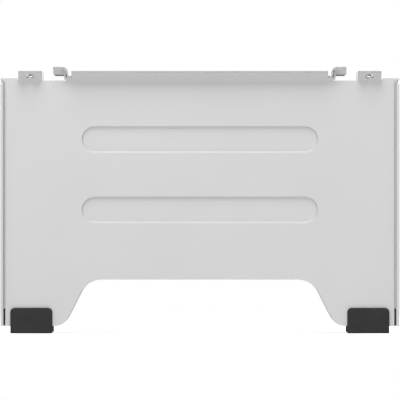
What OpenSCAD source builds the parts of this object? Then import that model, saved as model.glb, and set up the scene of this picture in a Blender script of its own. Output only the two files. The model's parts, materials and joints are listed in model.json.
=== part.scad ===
// CPU holder: two folded steel side panels on rubber feet, joined by a shelf in
// two halves that slides to suit the width of the computer and locks underneath.
// X runs along the computer, Y across it, Z up; the origin is on the floor.

/* [Overall] */
// Length of the holder along the computer
holder_l = 400; // [340:1:480]
// Height of the side panels above the floor
holder_h = 256; // [215:1:310]
// Distance between the side panels at rest
bay_w = 200; // [165:1:240]
// Thickness of the folded sheet steel
sheet_t = 2.5; // [2:0.1:3]

/* [Side panel] */
// Gap between the floor and the lower edge of the panel
floor_gap = 7.4; // [6:0.1:10]
// How far the upright flanges stand out from the panel
flange_d = 5; // [5:0.5:16]
// Inside radius of the upright bends
flange_r = 2; // [1:0.1:3]
// Width of each leg at the floor
leg_w = 63.9; // [58:0.1:75]
// Height of the arch between the legs
arch_h = 54; // [40:0.5:56]
// Radius at the top corners of the arch
arch_r = 24; // [10:1:30]
// Radius at the inner corner of each leg
leg_r = 14; // [4:1:18]

/* [Ribs] */
// Distance from the end of the panel to the end of a rib
rib_inset = 81.6; // [60:0.1:100]
// Height of a rib
rib_h = 26.2; // [20:0.1:32]
// Depth of the pressing
rib_d = 2; // [1:0.1:4]
// Run of the sloping wall of the pressing
rib_run = 2; // [1:0.1:3]

/* [Lip, tabs and hooks] */
// Slope of the lip and tabs above the horizontal
lip_angle = 35; // [20:1:50]
// Flat length of the lip beyond its bend
lip_l = 12.6; // [10:0.1:16]
// Width of a tab
tab_w = 23.6; // [18:0.1:28]
// Distance from the end of the panel to the middle of a tab
tab_inset = 29.8; // [26:0.1:36]
// Diameter of the hole in a tab
tab_hole_d = 8; // [5:0.1:9]
// Height of a hook above the underside of the lip
hook_h = 8.9; // [8:0.1:12]
// Reach of a hook along the panel
hook_l = 13.5; // [10:0.1:18]
// Width of a hook along the slope of the lip
hook_w = 10.6; // [8:0.1:12]

/* [Shelf] */
// Height of the fixed half of the shelf above the floor
shelf_z = 80; // [76:0.5:90]
// Travel towards the fixed panel
travel_in = 45; // [20:1:48]
// Travel away from the fixed panel
travel_out = 35; // [20:1:40]
// Gap between the sliding and the fixed sheet metal
slide_gap = 0.3; // [0.3:0.05:0.6]
// Thickness of the mat on the fixed half
mat_t = 4; // [3.5:0.1:6]

/* [Rubber feet] */
// Width of a foot
foot_w = 42.2; // [36:0.1:46]
// Height of a foot
foot_h = 25.7; // [20:0.1:32]
// Thickness of the walls of a foot
foot_t = 3; // [2:0.1:4]

/* [Fasteners] */
// Thread diameter of the studs on the panels
stud_d = 5; // [4:0.5:6]
// Thread diameter of the locking knobs
lock_d = 8; // [6:0.5:10]
// Diameter of a locking knob
knob_d = 30; // [24:1:34]
// Running clearance all round a locking thread
lock_fit = 0.05; // [0.02:0.01:0.09]

/* [Hidden] */
$fn = 48;
e = 0.01;
hl = holder_l / 2;
hw = bay_w / 2;
t = sheet_t;
arc_n = 10;
foot_x = hl - 31.05;
knob_x = hl - 45;
knob_y = 5;
// the top edge steps down between the features folded from it
top_low = holder_h - 2.4;
top_bend = holder_h - 2.8;
flange_top = holder_h - 4.9;
slot_w = 1.7;
// the bend between the panel and the lip
lip_r = 1;
lip_turn = 90 - lip_angle;
lip_y = -hw - t - lip_r + lip_r * cos(lip_turn);
lip_z = top_bend + lip_r * sin(lip_turn);
lip_end = hl - 71.4;
hook_x = hl - 66.5;
neck_l = 4.2;
tab_x = hl - tab_inset;
tab_hole_v = 6;
// ribs stand clear of the shelf and of the lip
rib_end = hl - rib_inset - rib_h / 2;
rib_lower_z = shelf_z + 0.25 * (holder_h - shelf_z);
rib_upper_z = shelf_z + 0.651 * (holder_h - shelf_z);
rib_slope = sqrt(rib_d * rib_d + rib_run * rib_run);
rib_grow = t * (rib_slope - rib_run) / rib_d;
pad_t = 2;
// the two halves of the shelf
near_edge = 20;
far_edge = -hw + travel_in + 5;
slide_z = shelf_z - t - slide_gap;
rail_x = hl - 14;
slide_x = rail_x - t - 2.5;
rail_drop = 10;
rail_lip = 10;
skirt_z = arch_h + 4;
slot_half = lock_d / 2 + 0.6;
// studs, nuts and the locking knobs
stud_z = (skirt_z + slide_z - t) / 2;
stud_xs = [-hl + 60, -hl / 4, hl / 4, hl - 60];
stud_l = 9;
nut_af = 1.6 * stud_d;
nut_h = 0.9 * stud_d;
nut_fit = 0.05;
clinch_h = mat_t - 1;
washer_t = 1.6;
washer_z = slide_z - t - slide_gap - washer_t;
knob_h = 17;
knob_neck = 5;
knob_neck_d = 18;
knob_z = washer_z - knob_h;

steel = [0.82, 0.82, 0.83];
rubber = [0.08, 0.08, 0.08];
foam = [0.16, 0.16, 0.17];
zinc = [0.70, 0.71, 0.73];
nylon = [0.88, 0.88, 0.85];
plastic = [0.12, 0.12, 0.13];

// points on an arc about c, from angle a0 to angle a1
function arc(c, r, a0, a1) = [for (i = [0:arc_n])
    let (a = a0 + (a1 - a0) * i / arc_n) c + r * [cos(a), sin(a)]];

// points that round the corner at b on the way from a to c
function rounded(a, b, c, r) =
    let (u = (a - b) / norm(a - b), v = (c - b) / norm(c - b),
        half = acos(u * v) / 2, m = (u + v) / norm(u + v),
        o = b + m * r / sin(half), p = b + u * r / tan(half), q = b + v * r / tan(half),
        a0 = atan2(p[1] - o[1], p[0] - o[0]), a1 = atan2(q[1] - o[1], q[0] - o[0]),
        sweep = a1 - a0, d = sweep > 180 ? sweep - 360 : sweep < -180 ? sweep + 360 : sweep)
    [for (i = [0:arc_n]) o + r * [cos(a0 + d * i / arc_n), sin(a0 + d * i / arc_n)]];

function flipped(pts) = [for (i = [len(pts) - 1:-1:0]) [-pts[i][0], pts[i][1]]];

module both_ends() { children(); mirror([1, 0, 0]) children(); }

// a slab whose outline lies in X and Z, its back on the plane y
module upright(pts, y, depth) {
    translate([0, y, 0]) rotate([90, 0, 0]) linear_extrude(depth) polygon(pts);
}

// a section in Y and Z drawn out along X
module along_x(pts, x0, x1) {
    translate([x0, 0, 0]) rotate([90, 0, 90]) linear_extrude(x1 - x0) polygon(pts);
}

module block(x0, x1, y0, y1, z0, z1) {
    translate([x0, y0, z0]) cube([x1 - x0, y1 - y0, z1 - z0]);
}

// ---- side panel, drawn for the -Y side ----

web_x = hl - t - flange_r;
leg_in = hl - leg_w;
arch_top = leg_in - (arch_h - floor_gap) / 2;
relief = 1.2;

right_edge = concat(
    rounded([0, arch_h], [arch_top, arch_h], [leg_in, floor_gap], arch_r),
    rounded([arch_top, arch_h], [leg_in, floor_gap], [web_x, floor_gap], leg_r),
    [[web_x, floor_gap], [web_x, flange_top], [web_x + 1.4, flange_top],
    [web_x + 1.4, top_low], [hl, top_low], [hl, holder_h],
    [tab_x + tab_w / 2 + relief, holder_h], [tab_x + tab_w / 2 + relief, top_bend - 1],
    [tab_x + tab_w / 2, top_bend - 1], [tab_x + tab_w / 2, top_bend],
    [tab_x - tab_w / 2, top_bend], [tab_x - tab_w / 2, top_bend - 1],
    [tab_x - tab_w / 2 - relief, top_bend - 1], [tab_x - tab_w / 2 - relief, top_low],
    [hook_x + relief, top_low], [hook_x + relief, top_bend - 1],
    [hook_x, top_bend - 1], [hook_x, top_bend]]);

flange_plan = concat(
    [[web_x - 1, -hw - t], [web_x - 1, -hw]],
    arc([web_x, -hw - t - flange_r], t + flange_r, 90, 0),
    [[hl, -hw - t - flange_d], [hl - t, -hw - t - flange_d]],
    arc([web_x, -hw - t - flange_r], flange_r, 0, 90));

lip_bend = concat(
    [[-hw - t, top_bend - 0.5]],
    arc([-hw - t - lip_r, top_bend], lip_r, 0, lip_turn),
    arc([-hw - t - lip_r, top_bend], lip_r + t, lip_turn, 0),
    [[-hw, top_bend - 0.5]]);

hook_rise = 0.6;
hook_turn = 4;
hook_section = concat(
    arc([hook_x - hook_rise, t + hook_rise], t + hook_rise, -90, 0),
    arc([hook_x + hook_turn, hook_h - hook_turn], hook_turn - t, 180, 90),
    [[hook_x + hook_l, hook_h - t], [hook_x + hook_l, hook_h]],
    arc([hook_x + hook_turn, hook_h - hook_turn], hook_turn, 90, 180),
    arc([hook_x - hook_rise, t + hook_rise], hook_rise, 0, -90));

module lip_frame() { translate([0, lip_y, lip_z]) rotate([-lip_angle, 0, 0]) children(); }

module hook() {
    lip_frame() {
        rotate([90, 0, 0]) linear_extrude(hook_w) polygon(hook_section);
        block(lip_end - 1, hook_x - hook_rise + e, -neck_l, 0, 0, t);
    }
}

module tab() {
    along_x(lip_bend, tab_x - tab_w / 2, tab_x + tab_w / 2);
    lip_frame() difference() {
        block(tab_x - tab_w / 2, tab_x + tab_w / 2, -lip_l, 0, 0, t);
        translate([tab_x, -tab_hole_v, -1]) cylinder(d = tab_hole_d, h = t + 2);
    }
}

// a sloping-walled stadium that runs along X, r0 at y0 and r1 at y1
module pressing(z, y0, r0, y1, r1) {
    along_x([[y0, z - r0], [y1, z - r1], [y1, z + r1], [y0, z + r0]], -rib_end, rib_end);
    for (x = [-rib_end, rib_end]) translate([x, y0, z]) rotate([-90, 0, 0])
        cylinder(r1 = r0, r2 = r1, h = y1 - y0);
}

module rib_boss(z) {
    r = rib_h / 2 + rib_grow;
    pressing(z, -hw - e, r + e * rib_run / rib_d, -hw + rib_d, r - rib_run);
}

module rib_recess(z) {
    r = rib_h / 2;
    k = rib_run / rib_d;
    pressing(z, -hw - t - 1, r + k, -hw - t + rib_d, r - rib_run);
}

module foot_slot() {
    x = web_x - 0.3;
    block(x, x + slot_w, -hw - t - flange_r - 1, -hw + 1, floor_gap - 1, foot_h - slot_w / 2);
    translate([x + slot_w / 2, -hw + 1, foot_h - slot_w / 2]) rotate([90, 0, 0])
        cylinder(d = slot_w, h = t + flange_r + 2);
}

module panel() {
    difference() {
        union() {
            upright(concat(right_edge, flipped(right_edge)), -hw, t);
            both_ends() {
                translate([0, 0, floor_gap])
                    linear_extrude(flange_top - floor_gap) polygon(flange_plan);
                tab();
                hook();
            }
            along_x(lip_bend, -hook_x + 0.5, hook_x - 0.5);
            lip_frame() block(-lip_end, lip_end, -lip_l, 0, 0, t);
            rib_boss(rib_lower_z);
            rib_boss(rib_upper_z);
        }
        rib_recess(rib_lower_z);
        rib_recess(rib_upper_z);
        both_ends() foot_slot();
    }
}

// a rubber cap that grips the leg, with a lug that fills the slot in the bend
module foot() {
    w = foot_w / 2;
    r = 4.5;
    cap = concat(
        rounded([-w, foot_h], [-w, 0], [w, 0], 1),
        rounded([-w, 0], [w, 0], [w, foot_h], 1),
        rounded([w, 0], [w, foot_h], [-w, foot_h], r),
        rounded([w, foot_h], [-w, foot_h], [-w, 0], r));
    difference() {
        translate([foot_x, 0, 0]) upright(cap, -hw + foot_t, t + 2 * foot_t);
        block(foot_x - w - 1, foot_x + w + 1, -hw - t, -hw, floor_gap, foot_h + 1);
    }
    block(foot_x + w - 1, web_x + 1.3, -hw, -hw + foot_t, floor_gap + 0.2, foot_h - 5);
}

module rib_pad(z) {
    r = rib_h / 2 + rib_grow - rib_run - 2.4;
    pressing(z, -hw + rib_d, r, -hw + rib_d + pad_t, r - 0.5);
}

module stud_row() {
    for (x = stud_xs) translate([x, -hw, stud_z]) rotate([-90, 0, 0]) {
        cylinder(d = stud_d + 1.4, h = 0.8);
        cylinder(d = stud_d, h = stud_l - 0.6);
        translate([0, 0, stud_l - 0.6 - e]) cylinder(d1 = stud_d, d2 = stud_d - 1.2, h = 0.6);
    }
}

module nut_row() {
    for (x = stud_xs) translate([x, -hw + t, stud_z]) rotate([-90, 0, 0]) difference() {
        union() {
            cylinder(d = nut_af / cos(30), h = nut_h, $fn = 6);
            cylinder(d = 2.2 * stud_d, h = 1);
        }
        translate([0, 0, -1]) cylinder(d = stud_d + 2 * nut_fit, h = nut_h + 2);
    }
}

module stud_holes() {
    for (x = stud_xs) translate([x, -hw - 1, stud_z]) rotate([-90, 0, 0])
        cylinder(d = stud_d + 1.8, h = t + 2);
}

// ---- shelf ----

module near_shelf() {
    color(steel) difference() {
        union() {
            block(-rail_x, rail_x, -hw, near_edge, shelf_z - t, shelf_z);
            block(-rail_x + 20, rail_x - 20, -hw, -hw + t, skirt_z, shelf_z);
            both_ends() {
                block(rail_x - t, rail_x, -hw + 4, near_edge, shelf_z - t - rail_drop, shelf_z);
                block(rail_x - rail_lip, rail_x, -hw + 4, near_edge,
                    shelf_z - t - rail_drop, shelf_z - rail_drop);
            }
        }
        stud_holes();
        for (x = [-knob_x, knob_x]) translate([x, knob_y, shelf_z - t - 1])
            cylinder(d = lock_d + 3, h = t + 2);
    }
}

module far_shelf() {
    color(steel) difference() {
        union() {
            block(-slide_x, slide_x, far_edge, hw, slide_z - t, slide_z);
            block(-rail_x + 20, rail_x - 20, hw - t, hw, skirt_z, slide_z);
        }
        mirror([0, 1, 0]) stud_holes();
        for (x = [-knob_x, knob_x]) {
            y0 = knob_y - travel_out - 1;
            y1 = knob_y + travel_in + 1;
            block(x - slot_half, x + slot_half, y0, y1, slide_z - t - 1, slide_z + 1);
            for (y = [y0, y1]) translate([x, y, slide_z - t - 1])
                cylinder(r = slot_half, h = t + 2);
        }
    }
}

// a strip in the rail that carries and guides the sliding half
module glide() {
    color(nylon) {
        block(rail_x - rail_lip + 1, rail_x - t, -hw + 14, near_edge - 1,
            shelf_z - rail_drop, slide_z - t - slide_gap);
        block(slide_x + slide_gap, rail_x - t, -hw + 14, near_edge - 1,
            shelf_z - rail_drop, shelf_z - t);
    }
}

module clinch_nut(x) {
    color(zinc) translate([x, knob_y, 0]) difference() {
        union() {
            translate([0, 0, shelf_z - t]) cylinder(d = lock_d + 3, h = t + e);
            translate([0, 0, shelf_z]) cylinder(d = lock_d + 6, h = clinch_h);
        }
        translate([0, 0, shelf_z - t - 1]) cylinder(d = lock_d + 2 * lock_fit, h = t + clinch_h + 2);
    }
}

module near_shelf_mat() {
    color(foam) difference() {
        block(-rail_x + 4, rail_x - 4, -hw + 6, near_edge - 2, shelf_z, shelf_z + mat_t);
        for (x = [-knob_x, knob_x]) translate([x, knob_y, shelf_z - 1])
            cylinder(d = lock_d + 8, h = mat_t + 2);
    }
}

module far_shelf_mat() {
    color(foam) block(-rail_x + 4, rail_x - 4, near_edge + travel_in + 2, hw - 6,
        slide_z, shelf_z + mat_t);
}

// ---- locking knobs ----

module knob(x) {
    color(plastic) translate([x, knob_y, knob_z]) difference() {
        union() {
            cylinder(d = knob_d, h = knob_h - knob_neck);
            cylinder(d = knob_neck_d, h = knob_h);
        }
        for (a = [0:45:315]) rotate(a) translate([knob_d / 2 + 2.4, 0, -1])
            cylinder(d = 8, h = knob_h + 2);
        translate([0, 0, 5]) cylinder(d = lock_d, h = knob_h);
    }
}

module knob_stud(x) {
    top = shelf_z + clinch_h - 0.5;
    color(zinc) translate([x, knob_y, knob_z + 5]) {
        cylinder(d = lock_d, h = top - knob_z - 6);
        translate([0, 0, top - knob_z - 6 - e]) cylinder(d1 = lock_d, d2 = lock_d - 2, h = 1);
    }
}

module knob_washer(x) {
    color(zinc) translate([x, knob_y, washer_z]) difference() {
        cylinder(d = 20, h = washer_t);
        translate([0, 0, -1]) cylinder(d = lock_d + 0.8, h = washer_t + 2);
    }
}

// ---- one module per piece ----

module near_panel() { color(steel) panel(); }
module near_foot_left() { color(rubber) mirror([1, 0, 0]) foot(); }
module near_foot_right() { color(rubber) foot(); }
module near_rib_pad_upper() { color(foam) rib_pad(rib_upper_z); }
module near_rib_pad_lower() { color(foam) rib_pad(rib_lower_z); }
module near_studs() { color(zinc) stud_row(); }
module near_nuts() { color(zinc) nut_row(); }
module clinch_nut_left() { clinch_nut(-knob_x); }
module clinch_nut_right() { clinch_nut(knob_x); }
module glide_left() { mirror([1, 0, 0]) glide(); }
module glide_right() { glide(); }
module far_panel() { color(steel) mirror([0, 1, 0]) panel(); }
module far_foot_left() { color(rubber) mirror([0, 1, 0]) mirror([1, 0, 0]) foot(); }
module far_foot_right() { color(rubber) mirror([0, 1, 0]) foot(); }
module far_rib_pad_upper() { color(foam) mirror([0, 1, 0]) rib_pad(rib_upper_z); }
module far_rib_pad_lower() { color(foam) mirror([0, 1, 0]) rib_pad(rib_lower_z); }
module far_studs() { color(zinc) mirror([0, 1, 0]) stud_row(); }
module far_nuts() { color(zinc) mirror([0, 1, 0]) nut_row(); }
module knob_left() { knob(-knob_x); }
module knob_stud_left() { knob_stud(-knob_x); }
module knob_washer_left() { knob_washer(-knob_x); }
module knob_right() { knob(knob_x); }
module knob_stud_right() { knob_stud(knob_x); }
module knob_washer_right() { knob_washer(knob_x); }

near_panel();
near_foot_left();
near_foot_right();
near_rib_pad_upper();
near_rib_pad_lower();
near_shelf();
near_shelf_mat();
near_studs();
near_nuts();
clinch_nut_left();
clinch_nut_right();
glide_left();
glide_right();
far_panel();
far_foot_left();
far_foot_right();
far_rib_pad_upper();
far_rib_pad_lower();
far_shelf();
far_shelf_mat();
far_studs();
far_nuts();
knob_left();
knob_stud_left();
knob_washer_left();
knob_right();
knob_stud_right();
knob_washer_right();
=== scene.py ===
import json
import math
from math import cos, pi, radians, sin

import bmesh
import bpy
from mathutils import Matrix, Vector
from mathutils.bvhtree import BVHTree
from mathutils.geometry import delaunay_2d_cdt


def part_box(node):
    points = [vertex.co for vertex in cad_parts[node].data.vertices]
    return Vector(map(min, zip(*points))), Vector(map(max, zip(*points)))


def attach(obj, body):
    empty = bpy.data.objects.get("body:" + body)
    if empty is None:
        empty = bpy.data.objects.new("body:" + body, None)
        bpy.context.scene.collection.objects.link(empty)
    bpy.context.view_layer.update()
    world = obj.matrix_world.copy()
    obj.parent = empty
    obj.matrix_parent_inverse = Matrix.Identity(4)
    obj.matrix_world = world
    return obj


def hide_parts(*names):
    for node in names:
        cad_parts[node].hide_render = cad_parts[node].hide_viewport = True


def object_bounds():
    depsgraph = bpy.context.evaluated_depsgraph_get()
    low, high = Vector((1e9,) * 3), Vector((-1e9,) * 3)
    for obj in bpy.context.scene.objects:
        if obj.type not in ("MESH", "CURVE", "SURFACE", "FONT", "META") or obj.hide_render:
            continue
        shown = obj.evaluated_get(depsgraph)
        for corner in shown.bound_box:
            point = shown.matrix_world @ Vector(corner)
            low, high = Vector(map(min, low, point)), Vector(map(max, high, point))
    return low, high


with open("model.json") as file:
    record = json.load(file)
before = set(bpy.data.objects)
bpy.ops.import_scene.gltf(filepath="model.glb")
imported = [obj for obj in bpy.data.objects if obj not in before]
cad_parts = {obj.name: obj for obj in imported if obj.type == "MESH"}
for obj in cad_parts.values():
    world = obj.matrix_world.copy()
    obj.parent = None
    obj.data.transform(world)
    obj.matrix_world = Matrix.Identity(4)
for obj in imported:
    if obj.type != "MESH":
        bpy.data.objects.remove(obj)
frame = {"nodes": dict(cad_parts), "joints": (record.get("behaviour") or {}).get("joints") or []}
cadBox = [list(corner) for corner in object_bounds()]
print("frame loaded,", len(frame["nodes"]), "nodes")


def inMetres(sizes):  # the dictionaries below are written in millimetres
    return {name: value * 0.001 for name, value in sizes.items()}


# materials

coatLook = {
    "colour": (0.420, 0.420, 0.423), "edge": (0.20, 0.20, 0.203), "roughness": 0.46, "specular": 0.4,
    "peel": 620, "peelDepth": 0.00004, "speck": 2600,
}
rubberLook = {
    "colour": (0.0125, 0.0125, 0.013), "roughness": 0.66, "grain": 2400, "grainDepth": 0.00006,
}
padLook = {"colour": (0.022, 0.022, 0.024), "roughness": 0.8, "grain": 1500, "grainDepth": 0.0001}
zincLook = {"colour": (0.66, 0.68, 0.71), "roughness": 0.3, "brush": 900}
nylonLook = {"colour": (0.80, 0.79, 0.74), "roughness": 0.42}
knobLook = {"colour": (0.028, 0.028, 0.030), "roughness": 0.4, "grain": 3200, "grainDepth": 0.00003}


class Maker:
    def __init__(self, name):
        self.material = bpy.data.materials.new(name)
        self.material.use_nodes = True
        self.tree = self.material.node_tree
        self.surface = self.tree.nodes["Principled BSDF"]
        self.place = self.add("ShaderNodeTexCoord").outputs["Object"]

    def add(self, kind, **values):
        node = self.tree.nodes.new(kind)
        for name, value in values.items():
            if hasattr(value, "is_linked"):
                self.tree.links.new(value, node.inputs[name.replace("_", " ")])
            elif name.replace("_", " ") in node.inputs:
                node.inputs[name.replace("_", " ")].default_value = value
            else:
                setattr(node, name, value)
        return node

    def link(self, output, socketName):
        self.tree.links.new(output, self.surface.inputs[socketName])

    def noise(self, scale, detail=2.0, stretch=None):
        place = self.place
        if stretch:
            place = self.add("ShaderNodeMapping", Vector=place, Scale=stretch).outputs["Vector"]
        return self.add("ShaderNodeTexNoise", Vector=place, Scale=scale, Detail=detail).outputs["Fac"]

    def ramp(self, source, low, high, dark, light):
        node = self.add("ShaderNodeMapRange", Value=source)
        node.inputs["From Min"].default_value, node.inputs["From Max"].default_value = low, high
        node.inputs["To Min"].default_value, node.inputs["To Max"].default_value = dark, light
        return node.outputs["Result"]

    def spread(self, source, dark, light):  # nearly all of a noise lies between 0.3 and 0.7
        return self.ramp(source, 0.3, 0.7, dark, light)

    def roughen(self, source, middle, less, more):
        self.link(self.spread(source, middle - less, middle + more), "Roughness")

    def tint(self, factor, first, second):
        node = self.add("ShaderNodeMix", data_type="RGBA")
        self.tree.links.new(factor, node.inputs[0])
        node.inputs[6].default_value = (*first, 1)
        node.inputs[7].default_value = (*second, 1)
        return node.outputs[2]

    def bump(self, height, depth, under=None):
        node = self.add("ShaderNodeBump", Height=height, Distance=depth)
        node.inputs["Strength"].default_value = 1.0
        if under:
            self.tree.links.new(under, node.inputs["Normal"])
        return node.outputs["Normal"]


def shade(colour, amount):
    return tuple(channel * amount for channel in colour)


def powderCoat(name, colour):
    m = Maker(name)
    broad = m.noise(9, 3)
    fine = m.noise(coatLook["speck"], 2)
    grey = m.tint(m.spread(broad, 0, 1), shade(colour, 0.985), shade(colour, 1.012))
    node = m.add("ShaderNodeMix", data_type="RGBA", blend_type="MULTIPLY")
    m.tree.links.new(m.ramp(fine, 0.55, 0.8, 0, 0.10), node.inputs[0])
    m.tree.links.new(grey, node.inputs[6])
    node.inputs[7].default_value = (0.7, 0.7, 0.72, 1)
    m.link(node.outputs[2], "Base Color")
    m.roughen(m.noise(46, 4), coatLook["roughness"], 0.04, 0.06)
    peel = m.bump(m.noise(coatLook["peel"], 1.5), coatLook["peelDepth"])
    m.link(m.bump(fine, coatLook["peelDepth"] * 0.35, peel), "Normal")
    m.surface.inputs["Specular IOR Level"].default_value = coatLook["specular"]
    return m.material


def mouldedRubber(name, look, sheen=0.0):
    m = Maker(name)
    grain = m.noise(look["grain"], 3)
    cloudy = m.noise(60, 4)
    dark, light = shade(look["colour"], 0.88), shade(look["colour"], 1.2)
    m.link(m.tint(m.spread(cloudy, 0, 1), dark, light), "Base Color")
    m.roughen(grain, look["roughness"], 0.06, 0.08)
    m.link(m.bump(grain, look["grainDepth"]), "Normal")
    m.surface.inputs["Specular IOR Level"].default_value = 0.25
    if sheen:
        m.surface.inputs["Sheen Weight"].default_value = sheen
        m.surface.inputs["Sheen Roughness"].default_value = 0.5
    return m.material


def zincPlate():
    m = Maker("zincPlate")
    blotch = m.noise(240, 4)
    fine = m.noise(zincLook["brush"], 2, (1, 1, 6))
    dark, light = shade(zincLook["colour"], 0.9), zincLook["colour"]
    m.link(m.tint(m.spread(blotch, 0, 1), dark, light), "Base Color")
    m.roughen(fine, zincLook["roughness"], 0.06, 0.1)
    m.link(m.bump(fine, 0.00001), "Normal")
    m.surface.inputs["Metallic"].default_value = 1.0
    return m.material


def naturalNylon():
    m = Maker("naturalNylon")
    dark, light = shade(nylonLook["colour"], 0.95), nylonLook["colour"]
    m.link(m.tint(m.noise(90, 3), dark, light), "Base Color")
    m.roughen(m.noise(500, 2), nylonLook["roughness"], 0.05, 0.08)
    m.link(m.bump(m.noise(900, 2), 0.00002), "Normal")
    m.surface.inputs["Subsurface Weight"].default_value = 0.15
    m.surface.inputs["Subsurface Radius"].default_value = (0.002, 0.002, 0.0015)
    m.surface.inputs["Subsurface Scale"].default_value = 1.0
    return m.material


coat = powderCoat("powderCoat", coatLook["colour"])
# a coat about half as light as the plain one, kept on the top rims of the lip, tabs and hooks only
darkerEdgeCoat = powderCoat("thinCoatOnEdges", coatLook["edge"])
footRubber = mouldedRubber("footRubber", rubberLook, 0.05)
padRubber = mouldedRubber("padRubber", padLook, 0.2)
knobPlastic = mouldedRubber("knobPlastic", knobLook)
zinc = zincPlate()
nylon = naturalNylon()
print("materials made")


# shared mesh tools

def newObject(name, mesh):
    thing = bpy.data.objects.new(name, mesh)
    bpy.context.scene.collection.objects.link(thing)
    return thing


def asMesh(name, work):
    mesh = bpy.data.meshes.new(name)
    work.to_mesh(mesh)
    work.free()
    return mesh


def applied(thing):  # bakes the modifiers into a plain mesh
    depsgraph = bpy.context.evaluated_depsgraph_get()
    mesh = bpy.data.meshes.new_from_object(thing.evaluated_get(depsgraph))
    old = thing.data
    thing.modifiers.clear()
    thing.data = mesh
    mesh.name = thing.name
    bpy.data.meshes.remove(old)
    return thing


def discard(thing):
    mesh = thing.data
    bpy.data.objects.remove(thing)
    bpy.data.meshes.remove(mesh)


def finished(thing, body, material, nodes):
    if material:
        thing.data.materials.clear()
        thing.data.materials.append(material)
        for face in thing.data.polygons:
            face.material_index = 0
    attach(thing, body)
    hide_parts(*nodes)
    return thing


def eased(thing, width, segments=2, angle=40):  # breaks the sharp edges, keeps flat faces flat
    bevel = thing.modifiers.new("edges", "BEVEL")
    bevel.width, bevel.segments = width, segments
    bevel.limit_method, bevel.angle_limit = "ANGLE", radians(angle)
    bevel.use_clamp_overlap = False
    for face in thing.data.polygons:
        face.use_smooth = True
    even = thing.modifiers.new("even", "WEIGHTED_NORMAL")
    even.keep_sharp = True
    return thing


def surfaceOf(thing):
    mesh = thing.data
    return BVHTree.FromPolygons([v.co for v in mesh.vertices], [p.vertices for p in mesh.polygons])


def broughtBack(thing, surface, reach):  # corners a modifier throws off return to their neighbours
    work = bmesh.new()
    work.from_mesh(thing.data)
    strays = {v for v in work.verts if surface.find_nearest(v.co)[3] > reach}
    waiting = [v for v in work.verts if v in strays]
    while waiting:
        settled = {}
        for v in waiting:
            steady = [e.other_vert(v).co for e in v.link_edges if e.other_vert(v) not in strays]
            if steady:
                settled[v] = sum(steady, Vector()) / len(steady)
        if not settled:
            bmesh.ops.delete(work, geom=waiting, context="VERTS")
            break
        for v, place in settled.items():
            v.co = place
        strays -= set(settled)
        waiting = [v for v in waiting if v not in settled]
    work.to_mesh(thing.data)
    work.free()
    return thing


def easedSheet(thing, width, angle):
    surface = surfaceOf(thing)
    return broughtBack(applied(eased(thing, width, 2, angle)), surface, width * 1.1)


def roundCorner(before, corner, after, radius, steps):
    into, out = (before - corner).normalized(), (after - corner).normalized()
    half = into.angle(out) / 2
    middle = corner + (into + out).normalized() * (radius / sin(half))
    reach = radius / math.tan(half)
    first, last = corner + into * reach - middle, corner + out * reach - middle
    turn = math.atan2(first.x * last.y - first.y * last.x, first.dot(last))
    return [middle + Matrix.Rotation(turn * i / steps, 2) @ first for i in range(steps + 1)]


def softOutline(corners, steps=6):  # corners are (x, y, radius)
    points = []
    for i, (x, y, radius) in enumerate(corners):
        here = Vector((x, y))
        if radius:
            before, after = Vector(corners[i - 1][:2]), Vector(corners[(i + 1) % len(corners)][:2])
            points += roundCorner(before, here, after, radius, max(steps, int(radius * 700)))
        else:
            points.append(here)
    return points


def bothHalves(corners):
    return corners + [(-x, y, radius) for x, y, radius in reversed(corners)]


def circle(x, y, radius, steps=40):
    angles = [2 * pi * i / steps for i in range(steps)]
    return [Vector((x + radius * cos(a), y + radius * sin(a))) for a in angles]


def quarterTurn(steps):
    return [pi / 2 * i / steps for i in range(steps + 1)]


def stadium(halfLength, y, radius, steps=20, x=0, upright=False):
    ends = [(halfLength, -pi / 2), (-halfLength, pi / 2)]
    points = []
    for shift, start in ends:
        for i in range(steps + 1):
            a = start + pi * i / steps
            along, across = shift + radius * cos(a), radius * sin(a)
            right, up = (-across, along) if upright else (along, across)
            points.append(Vector((x + right, y + up)))
    return points


def inside(point, loop):
    hit = False
    for i, here in enumerate(loop):
        last = loop[i - 1]
        if (here.y > point.y) != (last.y > point.y):
            hit ^= point.x < (last.x - here.x) * (point.y - here.y) / (last.y - here.y) + here.x
    return hit


def follow(distance, route):  # a route is straights (length, 0) and arcs (length, turn)
    x = y = heading = 0.0
    for i, (length, turn) in enumerate(route):
        step = distance if i == len(route) - 1 else min(distance, length)
        if turn:
            radius, swept = length / turn, turn * step / length
            x += radius * (sin(heading + swept) - sin(heading))
            y += radius * (cos(heading) - cos(heading + swept))
            heading += swept
        else:
            x += step * cos(heading)
            y += step * sin(heading)
        distance -= step
        if distance <= 0:
            break
    return x, y


def bendLines(route, steps=7, guard=0.0006):  # cuts across the flat blank that keep bends smooth
    lines, done = [], 0.0
    for length, turn in route:
        if turn:
            lines += [done - guard, done + length + guard]
            lines += [done + length * i / steps for i in range(steps + 1)]
        done += length
    return sorted(lines)


sliver = {"area": 1e-9, "step": 2e-6}  # square metres, metres


def withinBlank(corners, outline, holes):  # a sliver along the border would bridge a slot's mouth
    middle = sum(corners, Vector((0, 0))) / len(corners)
    tests = [middle]
    sides = [(b - a, (a + b) / 2) for a, b in zip(corners, corners[1:] + corners[:1])]
    longest, halfway = max(sides, key=lambda side: side[0].length)
    pairs = zip(corners, corners[1:] + corners[:1])
    area = abs(sum(a.x * b.y - b.x * a.y for a, b in pairs)) / 2
    if area < sliver["area"]:
        across = Vector((-longest.y, longest.x)).normalized() * sliver["step"]
        tests += [halfway + across, halfway - across]
    return all(inside(p, outline) and not any(inside(p, hole) for hole in holes) for p in tests)


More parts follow.
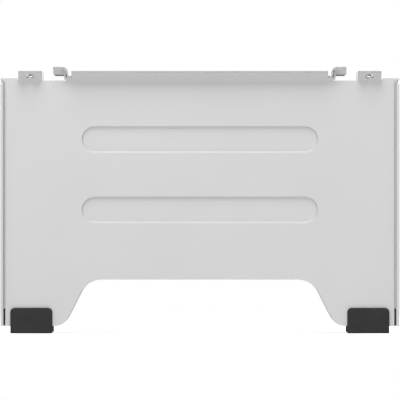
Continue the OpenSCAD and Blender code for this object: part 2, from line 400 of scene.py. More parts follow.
def foldedSheet(name, outline, holes, creases, fold, thickness):  # a flat blank, cut and then folded
    loops = [outline] + holes
    points, edges = [], []
    for loop in loops:
        start = len(points)
        points += [Vector(p) for p in loop]
        edges += [(start + i, start + (i + 1) % len(loop)) for i in range(len(loop))]
    for line in creases:
        start = len(points)
        points += [Vector(p) for p in line[0]]
        count = len(line[0])
        edges += [(start + i, start + (i + 1) % count) for i in range(count if line[1] else count - 1)]
    corners, _, faces, *_ = delaunay_2d_cdt(points, edges, [], 0, 1e-7)
    work = bmesh.new()
    made = [work.verts.new(fold(p.x, p.y)) for p in corners]
    for face in faces:
        if withinBlank([corners[i] for i in face], outline, holes):
            work.faces.new([made[i] for i in face])
    bmesh.ops.delete(work, geom=[v for v in work.verts if not v.link_faces], context="VERTS")
    thing = newObject(name, asMesh(name, work))
    thing.data.materials.append(coat)
    thing.data.materials.append(darkerEdgeCoat)
    solid = thing.modifiers.new("thickness", "SOLIDIFY")
    solid.thickness, solid.offset = thickness, -1
    solid.material_offset_rim = 1
    solid.use_even_offset = solid.use_quality_normals = True
    return applied(thing)


def turned(profile, steps=48, flutes=0, depth=0.0):  # points are (radius, height, fluting share)
    work = bmesh.new()
    rings = []
    for radius, height, share in profile:
        ring = []
        for i in range(steps):
            a = 2 * pi * i / steps
            r = radius - depth * share * (0.5 - 0.5 * cos(flutes * a)) ** 1.6
            ring.append(work.verts.new((r * cos(a), r * sin(a), height)))
        rings.append(ring)
    for low, high in zip(rings, rings[1:]):
        for i in range(steps):
            work.faces.new((low[i], low[(i + 1) % steps], high[(i + 1) % steps], high[i]))
    return work, rings


def closeEnds(work, rings, bored=False):
    if bored:  # the profile comes back to its start round a bore
        first, last = rings[0], rings[-1]
        for i in range(len(first)):
            work.faces.new((last[i], last[(i + 1) % len(first)], first[(i + 1) % len(first)], first[i]))
    else:
        work.faces.new(list(reversed(rings[0])))
        work.faces.new(rings[-1])
    bmesh.ops.recalc_face_normals(work, faces=work.faces)


def smoothByAngle(thing, angle=35):
    for face in thing.data.polygons:
        face.use_smooth = True
    thing.data.set_sharp_from_angle(angle=radians(angle))
    return thing


# side panels

panelLow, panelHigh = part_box("near_panel")
footLow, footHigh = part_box("near_foot_right")
padUpper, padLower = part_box("near_rib_pad_upper"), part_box("near_rib_pad_lower")
nearShelfLow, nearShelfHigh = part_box("near_shelf")
panel = inMetres({
    "thick": 2.5, "bendRadius": 2, "flange": 5, "legWidth": 63.9, "archHeight": 54, "archRadius": 24,
    "legRadius": 14, "ribInset": 81.6, "ribHeight": 26.2, "ribDepth": 2.1, "ribRun": 1.8, "lipBend": 1,
    "lipLength": 12.6, "lipInset": 71.4, "tabWidth": 23.6, "tabInset": 29.8, "tabHole": 8, "holeUp": 6,
    "hookInset": 65.6, "hookWidth": 10.6, "hookRise": 8.9, "hookReach": 9.8, "hookUnder": 1.6,
    "hookOver": 1.2, "hookRelief": 0.6, "neck": 4.2, "relief": 1.2,
    "crease": 1.3, "stepDown": 2.4, "bendDown": 2.8, "flangeDown": 4.9, "slotWidth": 1.7,
})
lipAngle = radians(35)
panelTop = 0.256  # metres, like the rest below
# rims above this height keep the darker coat
darkerEdgesAbove = 0.2562
cornerRadius = {
    "slot": 0.00084, "flange": 0.0015, "ear": 0.0006, "relief": 0.0004, "tab": 0.001,
    "hookRelief": 0.0002, "hook": 0.0008, "neck": 0.0004, "lip": 0.0008,
}
slotShift, slotGrowth, reliefDrop = 0.0003, 0.00015, 0.001
faceY = panel["thick"] - nearShelfLow.y  # the shelf's skirt lies on the inner side of the panel


def panelBlank():
    p, r = panel, cornerRadius
    end, floorGap, top = panelHigh.x, panelLow.z, panelTop
    web = end - p["thick"] - p["bendRadius"]
    topBend, topLow, flangeTop = top - p["bendDown"], top - p["stepDown"], top - p["flangeDown"]
    reliefLow = topBend - reliefDrop
    side = [(web, 0), (p["bendRadius"] * pi / 2, pi / 2), (p["flange"] - p["bendRadius"], 0)]
    lip = [(topBend, 0), (p["lipBend"] * (pi / 2 - lipAngle), pi / 2 - lipAngle), (p["lipLength"], 0)]
    hookStart = end - p["hookInset"]
    under, over = p["hookUnder"], p["hookOver"]
    rise = p["hookRise"] - p["thick"] - under - over
    arm = p["hookReach"]
    hook = [(hookStart, 0), (under * pi / 2, pi / 2), (rise, 0), (over * pi / 2, -pi / 2), (arm, 0)]
    bendEnd = topBend + lip[1][0]
    lipEnd = bendEnd + p["lipLength"]
    hookEnd = sum(length for length, turn in hook)
    flangeEnd = sum(length for length, turn in side)
    legIn = end - p["legWidth"]
    archTop = legIn - (p["archHeight"] - floorGap) / 2
    slotIn = web - slotShift
    slotOut = slotIn + p["slotWidth"] + slotGrowth
    tabMiddle = end - p["tabInset"]
    tabIn, tabOut = tabMiddle - p["tabWidth"] / 2, tabMiddle + p["tabWidth"] / 2
    relief = p["relief"]
    lipHalf = end - p["lipInset"]
    corners = [
        (archTop, p["archHeight"], p["archRadius"]), (legIn, floorGap, p["legRadius"]),
        (slotIn, floorGap, 0), (slotIn, footHigh.z, r["slot"]),
        (slotOut, footHigh.z, r["slot"]), (slotOut, floorGap, 0),
        (flangeEnd, floorGap, r["flange"]), (flangeEnd, flangeTop, r["flange"]),
        (slotOut, flangeTop, 0), (slotOut, topLow, 0), (end, topLow, 0), (end, top, r["ear"]),
        (tabOut + relief, top, r["relief"]), (tabOut + relief, reliefLow, 0),
        (tabOut, reliefLow, 0), (tabOut, lipEnd, r["tab"]),
        (tabIn, lipEnd, r["tab"]), (tabIn, reliefLow, 0),
        (tabIn - relief, reliefLow, 0), (tabIn - relief, topLow, r["relief"]),
        (hookStart + p["hookRelief"], topLow, r["hookRelief"]),
        (hookStart + p["hookRelief"], reliefLow, 0), (hookStart, reliefLow, 0),
        (hookStart, bendEnd, 0), (hookEnd, bendEnd, r["hook"]),
        (hookEnd, bendEnd + p["hookWidth"], r["hook"]), (hookStart, bendEnd + p["hookWidth"], 0),
        (hookStart, bendEnd + p["neck"], r["neck"]), (lipHalf, bendEnd + p["neck"], r["neck"]),
        (lipHalf, lipEnd, r["lip"]),
    ]
    outline = softOutline(bothHalves(corners), 4)
    holes = [circle(x, bendEnd + p["holeUp"], p["tabHole"] / 2) for x in (-tabMiddle, tabMiddle)]
    ribHalf = end - p["ribInset"] - p["ribHeight"] / 2
    ribs = [(padUpper[0].z + padUpper[1].z) / 2, (padLower[0].z + padLower[1].z) / 2]
    wallOut = p["ribHeight"] / 2 + 0.0004
    wallIn = wallOut - p["ribRun"]
    creases = []
    for sign in (-1, 1):
        for u in bendLines(side):
            creases.append(([(sign * u, floorGap), (sign * u, flangeTop)], False))
        for i in range(9):
            u = slotIn + (slotOut - slotIn) * i / 8
            creases.append(([(sign * u, floorGap), (sign * u, flangeTop)], False))
        for u in bendLines(hook, 6)[1:]:
            creases.append(([(sign * u, bendEnd), (sign * u, bendEnd + p["hookWidth"])], False))
        for w in bendLines(lip):
            creases.append(([(sign * tabIn, w), (sign * tabOut, w)], False))
        creases.append(([(sign * slotOut, topLow), (sign * slotIn, topLow)], False))
    for w in bendLines(lip):
        creases.append(([(-hookStart, w), (hookStart, w)], False))
    for z in ribs:
        for i in range(-1, 13):
            creases.append((stadium(ribHalf, z, wallOut - p["ribRun"] * i / 11), True))

    def recess(u, w):
        for z in ribs:
            reach = math.hypot(max(abs(u) - ribHalf, 0), w - z)
            if reach < wallOut:
                share = min((wallOut - reach) / (wallOut - wallIn), 1)
                return p["ribDepth"] * (0.5 - 0.5 * cos(pi * share))
        across = (abs(u) - slotIn) / (slotOut - slotIn)  # the side bends are coined along their inside
        if 0 < across < 1 and w < flangeTop + 0.0001:
            return p["crease"] * sin(pi * across) ** 0.7
        return 0.0

    def place(u, w):  # x, how far in front of the face, z
        a, tiny = abs(u), 1e-6
        x, ahead, z = a, -recess(u, w), w
        onHook = a > hookStart + tiny and w > bendEnd - tiny and a < hookEnd + tiny
        onLip = a < hookStart + tiny or tabIn - tiny < a < tabOut + tiny or onHook
        if w > topBend and onLip:
            z, ahead = follow(w, lip)
            if onHook:
                x, rise = follow(a, hook)
                ahead -= rise * sin(lipAngle)
                z += rise * cos(lipAngle)
        elif a > web and w < topLow:
            share = min(max((topLow - w) / (topLow - flangeTop), 0), 1)
            bentX, bentAhead = follow(a, side)
            x += (bentX - x) * share
            ahead += bentAhead * share
        return math.copysign(x, u), ahead, z

    return outline, holes, creases, place


def sidePanel(name, side):
    outline, holes, creases, place = panelBlank()

    def fold(u, w):
        x, ahead, z = place(u, w)
        return (x * -side, side * (faceY + ahead), z)

    thing = easedSheet(foldedSheet(name, outline, holes, creases, fold, panel["thick"]), 0.00025, 55)
    for part in thing.data.polygons:  # the rims of the lip, tabs and hooks keep the darker coat, all faces lower down take the plain coat
        if part.center.z < darkerEdgesAbove:
            part.material_index = 0
    return thing


for name, side, body in (("nearPanelSheet", -1, "fixed_half"), ("farPanelSheet", 1, "sliding_half")):
    finished(sidePanel(name, side), body, None, [name[:-10] + "_panel"])
print("side panels made")


# shelf

shelf = inMetres({
    "thick": 2.5, "outerBend": 3.5, "railDrop": 10, "railLip": 10, "skirtInset": 34, "railStart": 4,
    "skirtLow": 58, "plateInset": 19, "slotHalfWidth": 4.6, "notch": 1.2,
})
knobLow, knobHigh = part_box("knob_right")
knobX, knobY = (knobLow.x + knobHigh.x) / 2, (knobLow.y + knobHigh.y) / 2
farShelfLow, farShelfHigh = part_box("far_shelf")
slide = frame["joints"][0]["range_m"]


def skirtRoute(plateReach, top):
    s = shelf
    return [(plateReach - s["outerBend"], 0), (s["outerBend"] * pi / 2, -pi / 2),
            (top - s["outerBend"] - s["skirtLow"], 0)]


def nearShelfSheet():
    s = shelf
    top, edge, back = nearShelfHigh.z, nearShelfHigh.y, nearShelfLow.y
    wide = nearShelfHigh.x
    quarter = (s["outerBend"] * pi / 2, -pi / 2)
    drop = s["railDrop"] + s["thick"] - 2 * s["outerBend"]
    rail = [(wide - s["outerBend"], 0), quarter, (drop, 0), quarter, (s["railLip"] - s["outerBend"], 0)]
    railEnd = sum(length for length, turn in rail)
    skirt = skirtRoute(-back, top)
    skirtEnd = sum(length for length, turn in skirt)
    skirtHalf = panelHigh.x - s["skirtInset"]
    start = -back - s["railStart"]
    corners = [
        (railEnd, -edge, 0.002), (railEnd, start, 0.002), (skirtHalf + s["notch"], start, 0.0005),
        (skirtHalf + s["notch"], start - 0.002, 0), (skirtHalf, start - 0.002, 0),
        (skirtHalf, skirtEnd, 0.003),
    ]
    outline = softOutline(bothHalves(corners), 4)
    lines = [sign * u for sign in (-1, 1) for u in bendLines(rail)]
    creases = [([(u, -edge), (u, start)], False) for u in lines]
    creases += [([(-skirtHalf, q), (skirtHalf, q)], False) for q in bendLines(skirt)]

    def fold(u, q):
        x, down = follow(abs(u), rail)
        y, fall = follow(q, skirt) if q > 0 else (q, 0.0)
        return (-math.copysign(x, u), -y, top + down + fall)

    return foldedSheet("nearShelfSheet", outline, [], creases, fold, s["thick"])


def farShelfSheet():
    s = shelf
    top, start, back = farShelfHigh.z, farShelfLow.y, farShelfHigh.y
    skirt = skirtRoute(back, top)
    skirtEnd = sum(length for length, turn in skirt)
    skirtHalf = panelHigh.x - s["skirtInset"]
    side = panelHigh.x - s["plateInset"]
    end = back - s["outerBend"] - 0.0005
    corners = [
        (side, start, 0.004), (side, end, 0.004), (skirtHalf + s["notch"], end, 0.0005),
        (skirtHalf + s["notch"], end - 0.002, 0), (skirtHalf, end - 0.002, 0),
        (skirtHalf, skirtEnd, 0.003),
    ]
    outline = softOutline(bothHalves(corners), 4)
    low, high = knobY - slide[1] - 0.001, knobY - slide[0] + 0.001
    half, middle = (high - low) / 2, (low + high) / 2
    holes = [stadium(half, middle, s["slotHalfWidth"], 14, x, True) for x in (-knobX, knobX)]
    creases = [([(-skirtHalf, q), (skirtHalf, q)], False) for q in bendLines(skirt)]

    def fold(u, q):
        y, fall = follow(q, skirt) if q > 0 else (q, 0.0)
        return (u, y, top + fall)

    return foldedSheet("farShelfSheet", outline, holes, creases, fold, s["thick"])


for sheet, body, node in (
        (nearShelfSheet(), "fixed_half", "near_shelf"), (farShelfSheet(), "sliding_half", "far_shelf")):
    finished(easedSheet(sheet, 0.0003, 55), body, coat, [node])
print("shelf made")


# rubber feet

foot = inMetres({
    "width": 42.2, "topRadius": 4.5, "soleRadius": 1.0, "edge": 0.9, "soleHeight": 4.5, "wall": 3.0,
    "lugHeight": 17.4, "lugGap": 0.2, "lugEdge": 0.6})
soleTaper = 15  # share of the foot's depth lost per metre of height, at each face


def rubberFoot(name, node, end, side):  # end is -1 or 1 along X, side is -1 near and 1 far
    f = foot
    low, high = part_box(node)
    inner, width = end * footLow.x, f["width"]
    left, right = sorted((inner, inner + end * width))
    height = high.z
    outline = softOutline([
        (left, 0, f["soleRadius"]), (right, 0, f["soleRadius"]),
        (right, height, f["topRadius"]), (left, height, f["topRadius"])], 5)
    middle = Vector(((left + right) / 2, height / 2))
    outerFace, innerFace = (low.y, high.y) if side < 0 else (high.y, low.y)
    depth = abs(innerFace - outerFace)
    work = bmesh.new()
    rings = []
    levels = [(f["edge"] * (1 - cos(a)), f["edge"] * (1 - sin(a))) for a in quarterTurn(4)]
    levels += [(depth - back, inset) for back, inset in reversed(levels)]
    for back, inset in levels:
        ring = []
        for p in outline:
            x = middle.x + (p.x - middle.x) * (1 - inset / (width / 2))
            z = middle.y + (p.y - middle.y) * (1 - inset / (height / 2))
            ring.append(work.verts.new((x, outerFace - side * back, z)))
        rings.append(ring)
    count = len(outline)
    for a, b in zip(rings, rings[1:]):
        for i in range(count):
            work.faces.new((a[i], a[(i + 1) % count], b[(i + 1) % count], b[i]))
    work.faces.new(rings[0])
    work.faces.new(list(reversed(rings[-1])))
    everything = work.verts[:] + work.edges[:] + work.faces[:]
    bmesh.ops.bisect_plane(
        work, geom=everything, plane_co=(0, 0, f["soleHeight"]), plane_no=(0, 0, 1), dist=1e-6)
    bmesh.ops.recalc_face_normals(work, faces=work.faces)
    for v in work.verts:  # the sole slopes in a little, all round
        if v.co.z < f["soleHeight"] - 1e-5:
            v.co.y += (outerFace + innerFace - 2 * v.co.y) * (f["soleHeight"] - v.co.z) * soleTaper
    cap = newObject(name, asMesh(name, work))
    lug = bmesh.new()
    bmesh.ops.create_cube(lug, size=1)
    lugEnd = high.x if end > 0 else low.x
    lugStart = (right if end > 0 else left) - end * 0.001
    lugY = innerFace + side * f["wall"] / 2
    for v in lug.verts:
        v.co = Vector((
            (lugStart + lugEnd) / 2 + v.co.x * abs(lugEnd - lugStart),
            lugY + v.co.y * (f["wall"] - f["lugGap"]), panelLow.z + (v.co.z + 0.5) * f["lugHeight"]))
    bmesh.ops.bevel(
        lug, geom=lug.edges[:], offset=f["lugEdge"], segments=3, affect="EDGES", profile=0.5)
    lug.from_mesh(cap.data)
    lug.to_mesh(cap.data)
    lug.free()
    return smoothByAngle(cap, 50)


for side, half, body in ((-1, "near", "fixed_half"), (1, "far", "sliding_half")):
    for end, hand in ((-1, "left"), (1, "right")):
        node = half + "_foot_" + hand
        thing = rubberFoot(half + hand.capitalize() + "Foot", node, end, side)
        finished(thing, body, footRubber, [node])
print("feet made")


# pads and mats

mat = inMetres({
    "ribPitch": 4, "ribHeight": 0.7, "ribRadius": 1.1, "edge": 0.8, "ribMargin": 6, "boltRadius": 8,
})


def newTree(name, inputs, output):
    tree = bpy.data.node_groups.new(name, "GeometryNodeTree")
    for kind, names in inputs:
        for socket in names:
            tree.interface.new_socket(socket, in_out="INPUT", socket_type="NodeSocket" + kind)
    tree.interface.new_socket(output, in_out="OUTPUT", socket_type="NodeSocketGeometry")
    given, result = tree.nodes.new("NodeGroupInput"), tree.nodes.new("NodeGroupOutput")
    return tree, given.outputs, result.inputs[output]


def bevelledCopy(name, node, width, segments=3, angle=40):
    work = bmesh.new()
    work.from_mesh(frame["nodes"][node].data)
    bmesh.ops.remove_doubles(work, verts=work.verts, dist=1e-6)
    bmesh.ops.dissolve_limit(work, angle_limit=radians(0.5), verts=work.verts, edges=work.edges)
    return applied(eased(newObject(name, asMesh(name, work)), width, segments, angle))


def ribTree(material):  # half-round ribs along X, set out across Y
    tree, given, result = newTree("matRibs", [
        ("Geometry", ["Slab"]), ("Float", ["First", "Pitch", "Length", "Radius", "Surface"]),
        ("Int", ["Count"])], "Mat")
    link = tree.links.new
    start, step, line, rod, lay, copies, real, paint, both = (tree.nodes.new(kind) for kind in (
        "ShaderNodeCombineXYZ", "ShaderNodeCombineXYZ", "GeometryNodeMeshLine",
        "GeometryNodeMeshCylinder", "GeometryNodeTransform", "GeometryNodeInstanceOnPoints",
        "GeometryNodeRealizeInstances", "GeometryNodeSetMaterial", "GeometryNodeJoinGeometry"))
    link(given["First"], start.inputs["Y"])
    link(given["Surface"], start.inputs["Z"])
    link(given["Pitch"], step.inputs["Y"])
    link(given["Count"], line.inputs["Count"])
    link(start.outputs[0], line.inputs["Start Location"])
    link(step.outputs[0], line.inputs["Offset"])
    rod.inputs["Vertices"].default_value = 16
    link(given["Radius"], rod.inputs["Radius"])
    link(given["Length"], rod.inputs["Depth"])
    lay.inputs["Rotation"].default_value = (0, pi / 2, 0)
    link(rod.outputs["Mesh"], lay.inputs["Geometry"])
    link(line.outputs["Mesh"], copies.inputs["Points"])
    link(lay.outputs["Geometry"], copies.inputs["Instance"])
    link(given["Slab"], both.inputs["Geometry"])
    link(copies.outputs["Instances"], both.inputs["Geometry"])
    link(both.outputs["Geometry"], real.inputs["Geometry"])
    link(real.outputs["Geometry"], paint.inputs["Geometry"])
    paint.inputs["Material"].default_value = material
    link(paint.outputs["Geometry"], result)
    return tree


def setInputs(modifier, **values):
    for item in modifier.node_group.interface.items_tree:
        if item.in_out == "INPUT" and item.name in values:
            modifier[item.identifier] = values[item.name]


matTree = ribTree(padRubber)
matCorner = 0.004


def ribbedMat(name, node, bolts):
    m = mat
    low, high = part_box(node)
    work = bmesh.new()
    bmesh.ops.create_cube(work, size=1)
    slabTop = high.z - m["ribHeight"]
    for v in work.verts:
        v.co = Vector((v.co.x * (high.x - low.x), (low.y + high.y) / 2 + v.co.y * (high.y - low.y),
                       (low.z + slabTop) / 2 + v.co.z * (slabTop - low.z)))
    uprights = [e for e in work.edges if abs(e.verts[0].co.z - e.verts[1].co.z) > 0.001]
    bmesh.ops.bevel(
        work, geom=uprights, offset=matCorner, segments=6, affect="EDGES", profile=0.5)
    thing = newObject(name, asMesh(name, work))
    if bolts:
        reach = 0.002  # the punch stands out of both faces
        punch, rings = turned([
            (m["boltRadius"], low.z - reach, 0), (m["boltRadius"], high.z + reach, 0)], 48)
        closeEnds(punch, rings)
        pair = punch.copy()
        bmesh.ops.translate(pair, verts=pair.verts, vec=(knobX, knobY, 0))
        bmesh.ops.translate(punch, verts=punch.verts, vec=(-knobX, knobY, 0))
        second = asMesh("secondPunch", pair)
        punch.from_mesh(second)
        bpy.data.meshes.remove(second)
        knife = newObject("punch", asMesh("punch", punch))
        cut = thing.modifiers.new("holes", "BOOLEAN")
        cut.object, cut.operation, cut.solver = knife, "DIFFERENCE", "EXACT"
        applied(thing)
        discard(knife)
    applied(eased(thing, m["edge"], 3, 50))
    count = int((high.y - low.y - 2 * m["ribMargin"]) / m["ribPitch"]) + 1
    half = knobX - m["boltRadius"] - 0.004 if bolts else high.x - 0.006
    ribs = thing.modifiers.new("ribs", "NODES")
    ribs.node_group = matTree
    setInputs(
        ribs, First=(low.y + high.y) / 2 - (count - 1) * m["ribPitch"] / 2, Pitch=m["ribPitch"],
        Length=half * 2, Radius=m["ribRadius"], Surface=slabTop + m["ribHeight"] - m["ribRadius"],
        Count=count)
    applied(thing)
    return smoothByAngle(thing, 45)


for half, body, bolts in (("near", "fixed_half", True), ("far", "sliding_half", False)):
    node = half + "_shelf_mat"
    finished(ribbedMat(half + "Mat", node, bolts), body, padRubber, [node])
for half, body in (("near", "fixed_half"), ("far", "sliding_half")):
    for row in ("upper", "lower"):
        node = half + "_rib_pad_" + row
        thing = bevelledCopy(half + row.capitalize() + "RibPad", node, 0.0007)
        finished(thing, body, padRubber, [node])
print("mats made")


# fasteners

bolt = inMetres({
    "thread": 5, "pitch": 0.8, "threadDepth": 0.45, "length": 9, "weld": 3.2, "weldHeight": 0.8,
})
nut = inMetres({"flats": 8, "height": 4.5, "flange": 5.5, "flangeHeight": 1.2, "bore": 5.1})
lockThread = {"pitch": 0.00125, "depth": 0.0006, "boreDepth": 0.0004, "bore": 0.00405}  # metres
clinch = {"step": 0.0015, "flutes": 36, "fluteDepth": 0.0004}
studInset = 0.06


def threadProfile(radius, depth, pitch, low, high):
    turns = max(int((high - low) / pitch), 1)
    step = (high - low) / turns
    points = []
    for i in range(turns):
        z = low + i * step
        points += [(radius - depth, z + step * 0.06, 0), (radius, z + step * 0.42, 0),
                   (radius, z + step * 0.58, 0), (radius - depth, z + step * 0.94, 0)]
    return points


def weldStudMesh():
    b = bolt
    r = b["thread"] / 2
    profile = [
        (b["weld"], 0, 0), (b["weld"], b["weldHeight"] * 0.7, 0),
        (b["weld"] - 0.0003, b["weldHeight"], 0), (r - 0.0002, b["weldHeight"], 0)]
    low, high = b["weldHeight"] + 0.0003, b["length"] - 0.0008
    profile += threadProfile(r, b["threadDepth"], b["pitch"], low, high)
    profile += [(r - 0.0004, b["length"] - 0.0004, 0), (r - 0.0009, b["length"], 0)]
    work, rings = turned(profile, 32)
    closeEnds(work, rings)
    return asMesh("weldStud", work)


def flangeNutMesh():
    n = nut
    steps, sides = 72, 6
    flats, bore = n["flats"] / 2, n["bore"] / 2
    heights = [0.0, 0.25, 0.6, 0.9, 1.0]
    work = bmesh.new()
    rings = []

    def ring(radiusAt, z):
        made = []
        for i in range(steps):
            a = 2 * pi * i / steps
            r = radiusAt(a)
            made.append(work.verts.new((r * cos(a), r * sin(a), z)))
        rings.append(made)

    def hexagon(a):
        return flats / cos((a + pi / sides) % (2 * pi / sides) - pi / sides)

    corner = flats / cos(pi / sides)
    ring(lambda a: n["flange"] - 0.0003, 0)
    ring(lambda a: n["flange"], 0.0003)
    ring(lambda a: n["flange"], n["flangeHeight"] * 0.55)
    ring(lambda a: n["flange"] - 0.0004, n["flangeHeight"] * 0.8)
    ring(lambda a: min(corner + 0.0001, hexagon(a) + 0.0004), n["flangeHeight"])
    for share in heights:
        z = n["flangeHeight"] + (n["height"] - n["flangeHeight"]) * share
        cap = corner - max(share - 0.8, 0) * 0.0035
        ring(lambda a: min(hexagon(a), cap), z)
    ring(lambda a: bore + 0.0004, n["height"])
    threads = threadProfile(bore, 0.0003, bolt["pitch"], 0.0004, n["height"] - 0.0004)
    for radius, z, _ in reversed(threads):
        ring(lambda a: radius, z)
    ring(lambda a: bore + 0.0004, 0)
    for low, high in zip(rings, rings[1:] + rings[:1]):
        for i in range(steps):
            work.faces.new((low[i], low[(i + 1) % steps], high[(i + 1) % steps], high[i]))
    bmesh.ops.recalc_face_normals(work, faces=work.faces)
    return asMesh("flangeNut", work)


def rowTree(material):  # sets one fastener on each point, turned by a chance amount about its own axis
    tree, given, result = newTree("fastenerRow", [
        ("Geometry", ["Places"]), ("Object", ["Fastener"]), ("Float", ["Tilt", "MostTurn"]),
        ("Int", ["Seed"])], "Row")
    piece, copies, turn, real, paint, chance, tilt, spin = (tree.nodes.new(kind) for kind in (
        "GeometryNodeObjectInfo", "GeometryNodeInstanceOnPoints", "GeometryNodeRotateInstances",
        "GeometryNodeRealizeInstances", "GeometryNodeSetMaterial", "FunctionNodeRandomValue",
        "ShaderNodeCombineXYZ", "ShaderNodeCombineXYZ"))
    link = tree.links.new
    link(given["Fastener"], piece.inputs["Object"])
    link(given["Places"], copies.inputs["Points"])
    link(piece.outputs["Geometry"], copies.inputs["Instance"])
    link(given["Tilt"], tilt.inputs["X"])
    link(tilt.outputs[0], copies.inputs["Rotation"])
    link(given["MostTurn"], chance.inputs[3])
    link(given["Seed"], chance.inputs["Seed"])
    link(chance.outputs[1], spin.inputs["Z"])
    link(copies.outputs["Instances"], turn.inputs["Instances"])
    link(spin.outputs[0], turn.inputs["Rotation"])
    link(turn.outputs["Instances"], real.inputs["Geometry"])
    link(real.outputs["Geometry"], paint.inputs["Geometry"])
    paint.inputs["Material"].default_value = material
    link(paint.outputs["Geometry"], result)
    return tree


fastenerTree = rowTree(zinc)
studSpots = [panelLow.x + studInset, panelLow.x / 4, panelHigh.x / 4, panelHigh.x - studInset]


def fastenerRow(name, mesh, y, z, side, seed):
    pattern = newObject("pattern", mesh)
    work = bmesh.new()
    for x in studSpots:
        work.verts.new((x, y, z))
    thing = newObject(name, asMesh(name, work))
    row = thing.modifiers.new("row", "NODES")
    row.node_group = fastenerTree
    setInputs(row, Fastener=pattern, Tilt=side * pi / 2, MostTurn=2 * pi, Seed=seed)
    applied(thing)
    discard(pattern)
    return smoothByAngle(thing, 30)


for side, half, body, seed in ((-1, "near", "fixed_half", 3), (1, "far", "sliding_half", 8)):
    studBox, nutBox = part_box(half + "_studs"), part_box(half + "_nuts")
    z = (studBox[0].z + studBox[1].z) / 2
    wall = studBox[0].y if side < 0 else studBox[1].y
    seat = nutBox[0].y if side < 0 else nutBox[1].y
    studs = fastenerRow(half + "WeldStuds", weldStudMesh(), wall, z, side, seed)
    nuts = fastenerRow(half + "FlangeNuts", flangeNutMesh(), seat, z, side, seed + 1)
    finished(studs, body, zinc, [half + "_studs"])
    finished(nuts, body, zinc, [half + "_nuts"])


def clinchNut(name, node, x):
    low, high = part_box(node)
    bore, head = lockThread["bore"], (high.x - low.x) / 2
    shank = head - clinch["step"]
    plate = nearShelfHigh.z - low.z
    top = high.z - low.z
    profile = [
        (bore + 0.0005, 0, 0), (shank - 0.0002, 0, 0), (shank, 0.0002, 0), (shank, plate, 0),
        (head - 0.0003, plate, 0.2), (head, plate + 0.0003, 1), (head, top - 0.0004, 1),
        (head - 0.0004, top, 0.2), (bore + 0.0005, top, 0)]
    depth, pitch = lockThread["boreDepth"], lockThread["pitch"]
    profile += reversed(threadProfile(bore, depth, pitch, 0.0006, top - 0.0006))
    work, rings = turned(profile, 144, clinch["flutes"], clinch["fluteDepth"])
    closeEnds(work, rings, True)
    bmesh.ops.translate(work, verts=work.verts, vec=(x, knobY, low.z))
    return smoothByAngle(newObject(name, asMesh(name, work)), 40)


for hand, x in (("left", -knobX), ("right", knobX)):
    node = "clinch_nut_" + hand
    finished(clinchNut(hand + "ClinchNut", node, x), "fixed_half", zinc, [node])
    node = "glide_" + hand
    finished(bevelledCopy(hand + "Glide", node, 0.0004), "fixed_half", nylon, [node])
print("fasteners made")


# locking knobs

knob = inMetres({"radius": 15, "neck": 9, "flute": 2.1, "edge": 1.6, "dish": 1.1, "neckHeight": 5})
knobFlutes = 8


def lockKnob(name, node, x):
    k = knob
    low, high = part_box(node)
    tall = high.z - low.z
    body = tall - k["neckHeight"]
    r, edge = k["radius"], k["edge"]
    profile = [
        (0.0006, k["dish"] * 0.9, 0), (r * 0.42, k["dish"], 0), (r * 0.56, k["dish"] * 0.75, 0),
        (r * 0.62, k["dish"] * 0.2, 0), (r * 0.68, 0, 0.2)]
    for a in quarterTurn(6):
        profile.append((r - edge * (1 - sin(a)), edge * (1 - cos(a)), 0.55 + 0.45 * sin(a)))
    profile.append((r, body * 0.55, 1))
    for a in quarterTurn(6):
        profile.append((r - edge * (1 - cos(a)), body - edge * (1 - sin(a)), 0.55 + 0.45 * cos(a)))
    neck, hole = k["neck"], 0.0041
    profile += [
        (neck + 0.0012, body, 0.1), (neck + 0.0003, body + 0.0005, 0), (neck, body + 0.0012, 0),
        (neck, tall - 0.0004, 0), (neck - 0.0004, tall, 0), (hole, tall, 0), (hole, tall - 0.001, 0)]
    work, rings = turned(profile, 128, knobFlutes, k["flute"])
    closeEnds(work, rings)
    bmesh.ops.translate(work, verts=work.verts, vec=(x, knobY, low.z))
    return smoothByAngle(newObject(name, asMesh(name, work)), 40)


def lockStud(name, node, x):
    low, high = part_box(node)
    r = (high.x - low.x) / 2
    tall = high.z - low.z
    depth, pitch = lockThread["depth"], lockThread["pitch"]
    profile = [(r - depth, 0, 0)] + threadProfile(r, depth, pitch, 0.0002, tall - 0.0012)
    profile += [(r - 0.0005, tall - 0.0008, 0), (r - 0.0012, tall, 0)]
    work, rings = turned(profile, 48)
    closeEnds(work, rings)
    bmesh.ops.translate(work, verts=work.verts, vec=(x, knobY, low.z))
    return smoothByAngle(newObject(name, asMesh(name, work)), 30)


for hand, x in (("left", -knobX), ("right", knobX)):
    body = "lock_knob_" + hand
    node = "knob_" + hand
    finished(lockKnob(hand + "Knob", node, x), body, knobPlastic, [node])
    node = "knob_stud_" + hand
    finished(lockStud(hand + "KnobStud", node, x), body, zinc, [node])
    node = "knob_washer_" + hand
    finished(bevelledCopy(hand + "KnobWasher", node, 0.00025, 2), body, zinc, [node])
print("knobs made")


# studio

studio = {
    "above": 0.62, "below": 1.48, "seen": 1.0, "atMiddle": 1.12, "atSides": 0.45,
    "floorSize": 8.0, "floorGrey": 0.6, "floorRoughness": 0.9, "floorGlow": 0.55,
    "lens": 1650, "sensor": 36.0, "frameWidth": 0.40115, "centreX": 0.0002, "centreZ": 0.1338,
}
lamps = {  # place, aim, side in metres and watts
    "key": ((-0.12, -1.0, 2.1), (0, -0.1, 0.12), 1.4, 54),
    "front": ((-0.9, -4.0, 0.5), (0, -0.1, 0.12), 1.2, 26),
    "back": ((0.9, 1.3, 2.1), (0, 0.1, 0.12), 1.0, 34),
}


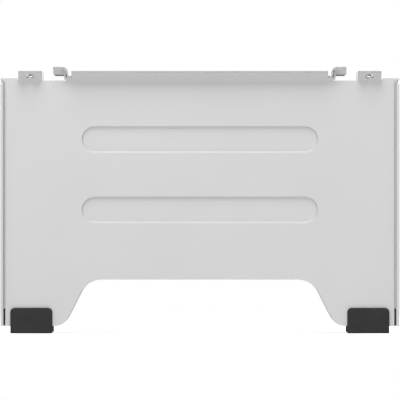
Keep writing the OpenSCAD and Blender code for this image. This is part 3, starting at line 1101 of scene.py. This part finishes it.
def studioFloor():
    work = bmesh.new()
    bmesh.ops.create_grid(work, x_segments=1, y_segments=1, size=studio["floorSize"] / 2)
    bmesh.ops.translate(work, verts=work.verts, vec=(0, 0, cadBox[0][2] - 0.0002))
    floor = newObject("studioFloor", asMesh("studioFloor", work))
    m = Maker("studioFloor")
    grey = studio["floorGrey"]
    m.surface.inputs["Base Color"].default_value = (grey, grey, grey, 1)
    m.surface.inputs["Roughness"].default_value = studio["floorRoughness"]
    m.surface.inputs["Emission Color"].default_value = (1, 1, 1, 1)
    m.surface.inputs["Emission Strength"].default_value = studio["floorGlow"]
    floor.data.materials.append(m.material)
    # the room lights the object, and the floor only catches its shadow
    floor.visible_diffuse = floor.visible_glossy = False


def softLight(name, place, aim, side, watts):
    lamp = bpy.data.lights.new(name, "AREA")
    lamp.shape, lamp.size, lamp.size_y, lamp.energy = "RECTANGLE", side, side, watts
    thing = newObject(name, lamp)
    thing.location = place
    thing.rotation_euler = (Vector(aim) - Vector(place)).to_track_quat("-Z", "Y").to_euler()


def studioWorld():  # a white room; what lights the object is dimmer than what is seen
    s = studio
    world = bpy.data.worlds.new("studio")
    bpy.context.scene.world = world
    world.use_nodes = True
    nodes, links = world.node_tree.nodes, world.node_tree.links
    place, split, fade, wide, flags, both, white, path, mix = (
        nodes.new("ShaderNode" + kind) for kind in (
            "TexCoord", "SeparateXYZ", "MapRange", "Math", "MapRange", "Math",
            "Background", "LightPath", "MixShader"))
    fade.inputs["From Min"].default_value, fade.inputs["From Max"].default_value = -0.3, 0.3
    fade.inputs["To Min"].default_value, fade.inputs["To Max"].default_value = s["below"], s["above"]
    wide.operation, both.operation = "ABSOLUTE", "MULTIPLY"
    flags.inputs["From Min"].default_value = 0.35
    flags.inputs["To Min"].default_value = s["atMiddle"]
    flags.inputs["To Max"].default_value = s["atSides"]
    links.new(place.outputs["Generated"], split.inputs[0])
    links.new(split.outputs["Z"], fade.inputs["Value"])
    links.new(split.outputs["X"], wide.inputs[0])
    links.new(wide.outputs[0], flags.inputs["Value"])
    links.new(fade.outputs[0], both.inputs[0])
    links.new(flags.outputs[0], both.inputs[1])
    links.new(both.outputs[0], nodes["Background"].inputs["Strength"])
    nodes["Background"].inputs["Color"].default_value = (1, 1, 1, 1)
    white.inputs["Color"].default_value = (1, 1, 1, 1)
    white.inputs["Strength"].default_value = s["seen"]
    links.new(path.outputs["Is Camera Ray"], mix.inputs[0])
    links.new(nodes["Background"].outputs[0], mix.inputs[1])
    links.new(white.outputs[0], mix.inputs[2])
    links.new(mix.outputs[0], nodes["World Output"].inputs["Surface"])


def studioCamera():
    s = studio
    lens = bpy.data.cameras.new("camera")
    lens.lens, lens.sensor_width = s["lens"], s["sensor"]
    camera = newObject("camera", lens)
    distance = s["frameWidth"] * s["lens"] / s["sensor"]
    camera.location = (s["centreX"], -faceY - distance, s["centreZ"])
    camera.rotation_euler = (pi / 2, 0, 0)
    lens.clip_start, lens.clip_end = 1.0, distance + 20
    bpy.context.scene.camera = camera


studioFloor()
studioWorld()
for name, look in lamps.items():
    softLight(name, *look)
studioCamera()
bpy.context.scene.view_settings.view_transform = "Standard"
print("studio made")
